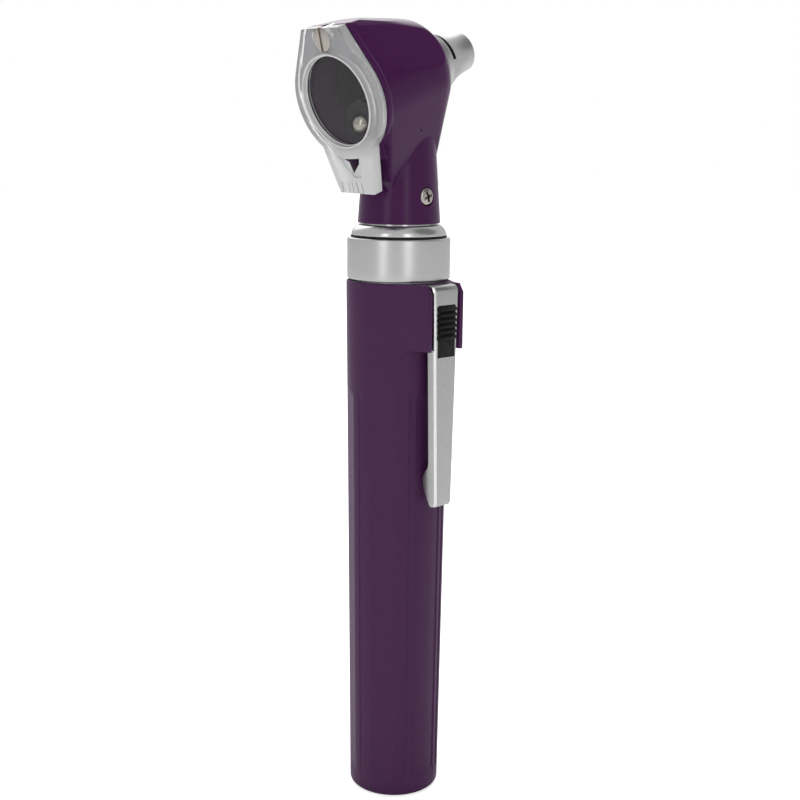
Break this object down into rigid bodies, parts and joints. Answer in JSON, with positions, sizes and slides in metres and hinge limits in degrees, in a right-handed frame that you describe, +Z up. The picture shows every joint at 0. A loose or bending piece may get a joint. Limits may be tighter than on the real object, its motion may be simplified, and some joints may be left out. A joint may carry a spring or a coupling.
{
  "type": "otoscope",
  "caption": "Pocket otoscope: battery handle with clip and slide switch, twist-on tilted head, swing-away magnifier plate and flared speculum holder.",
  "frame": {"origin": "centre of the handle's flat base", "axes": "+Z up along the handle towards the head, -Y towards the examiner's side with the magnifier, +Y towards the patient's side with the speculum holder, +X towards the pocket clip and switch"},
  "size_m": [0.0247, 0.0382, 0.1535],
  "materials": {
    "plum_plastic": "semi-matte moulded, dark plum",
    "satin_metal": "satin",
    "polished_chrome": "polished",
    "nickel_screw": "nickel plated",
    "spring_steel": "bright",
    "contact_brass": "bright",
    "black_plastic": "moulded black",
    "battery_wrap": "plain printed sleeve",
    "frosted_acrylic": "translucent frosted, polished rim",
    "lens_glass": "polished",
    "light_guide_acrylic": "polished"
  },
  "bodies": {
    "handle": {"handle_shell": "plum_plastic", "neck_collar": "satin_metal", "clip_root": "satin_metal", "switch_track": "black_plastic", "contact_strip": "contact_brass", "base_contact": "contact_brass", "battery_spring": "spring_steel", "battery_lower": "battery_wrap", "battery_upper": "battery_wrap"},
    "clip": {"clip_arm": "satin_metal"},
    "switch": {"switch_button": "black_plastic", "sliding_contact": "contact_brass"},
    "head": {"head_shell": "plum_plastic", "base_ferrule": "polished_chrome", "neck_screw": "nickel_screw", "lamp_holder": "black_plastic", "contact_spring": "spring_steel", "lamp_base": "contact_brass", "lamp_bulb": "lens_glass", "light_guide": "light_guide_acrylic", "inner_funnel": "black_plastic", "funnel_screw": "spring_steel", "speculum_holder": "satin_metal", "pivot_screw": "nickel_screw", "pivot_bush": "spring_steel"},
    "plunger": {"contact_plunger": "contact_brass"},
    "lens_plate": {"viewing_plate": "frosted_acrylic", "lens_ring": "frosted_acrylic", "magnifier_lens": "lens_glass"}
  },
  "joints": [
    {"name": "clip_flex", "type": "hinge", "parent": "handle", "child": "clip", "pos_m": [0.0122, 0, 0.0895], "axis": [0, -1, 0], "range_deg": [0, 4], "stiffness_Nm_per_rad": 0.8},
    {"name": "switch_slide", "type": "slide", "parent": "handle", "child": "switch", "axis": [0, 0, -1], "range_m": [0, 0.003]},
    {"name": "head_twist", "type": "hinge", "parent": "handle", "child": "head", "pos_m": [0, 0, 0.109], "axis": [0, 0, 1], "range_deg": [0, 90]},
    {"name": "plunger_slide", "type": "slide", "parent": "head", "child": "plunger", "axis": [0, 0, 1], "range_m": [0, 0.0009], "stiffness_N_per_m": 300, "deforming": ["contact_spring"]},
    {"name": "lens_swing", "type": "hinge", "parent": "head", "child": "lens_plate", "pos_m": [0, -0.00368, 0.15408], "axis": [0, 0.9455, 0.3256], "range_deg": [-95, 95]}
  ]
}
